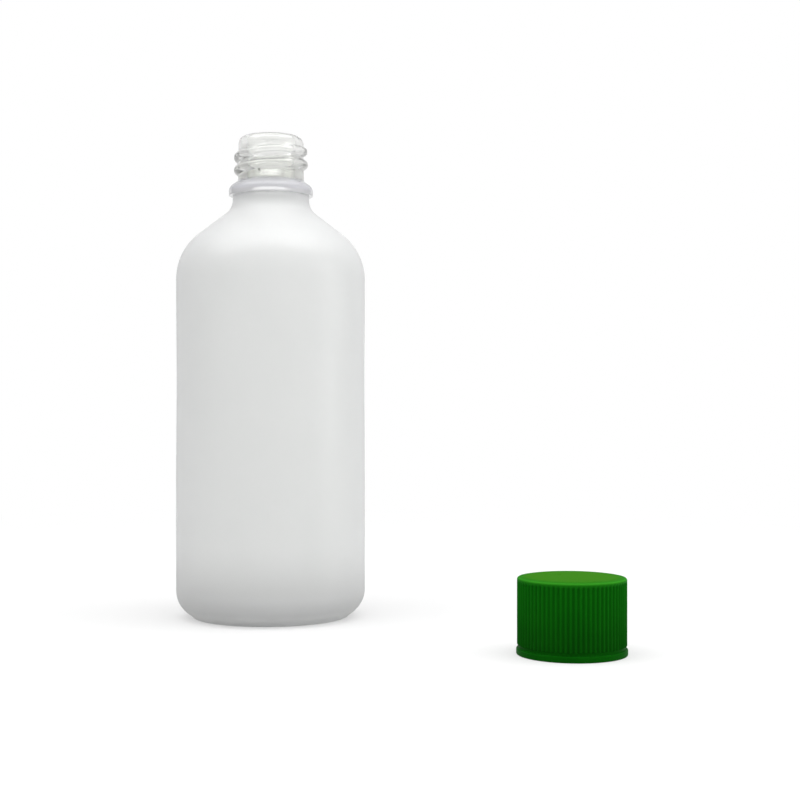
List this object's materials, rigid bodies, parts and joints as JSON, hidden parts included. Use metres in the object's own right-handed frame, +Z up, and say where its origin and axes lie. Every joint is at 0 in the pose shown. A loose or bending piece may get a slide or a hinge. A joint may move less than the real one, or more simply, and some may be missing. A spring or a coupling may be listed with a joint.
{
  "type": "frosted glass dropper bottle with screw cap",
  "caption": "Round frosted glass bottle with a clear threaded neck, for liquids and for a push-in dropper insert, with its ribbed green screw cap taken off and stood beside it.",
  "frame": {"origin": "on the bottle's axis, in the plane of the ring that the bottle stands on", "axes": "+Z up along the bottle's axis and out of its mouth; the cap stands on the same plane towards +X and -Y"},
  "size_m": [0.0984, 0.0864, 0.1132],
  "materials": {
    "frosted_glass": "satin frosted outside up to the neck ring, clear and glossy above it",
    "green_plastic": "fine satin moulding",
    "white_foam": "closed-cell foam"
  },
  "bodies": {
    "root": {"bottle": "frosted_glass", "screw_cap": "green_plastic", "cap_liner": "white_foam"}
  },
  "joints": []
}
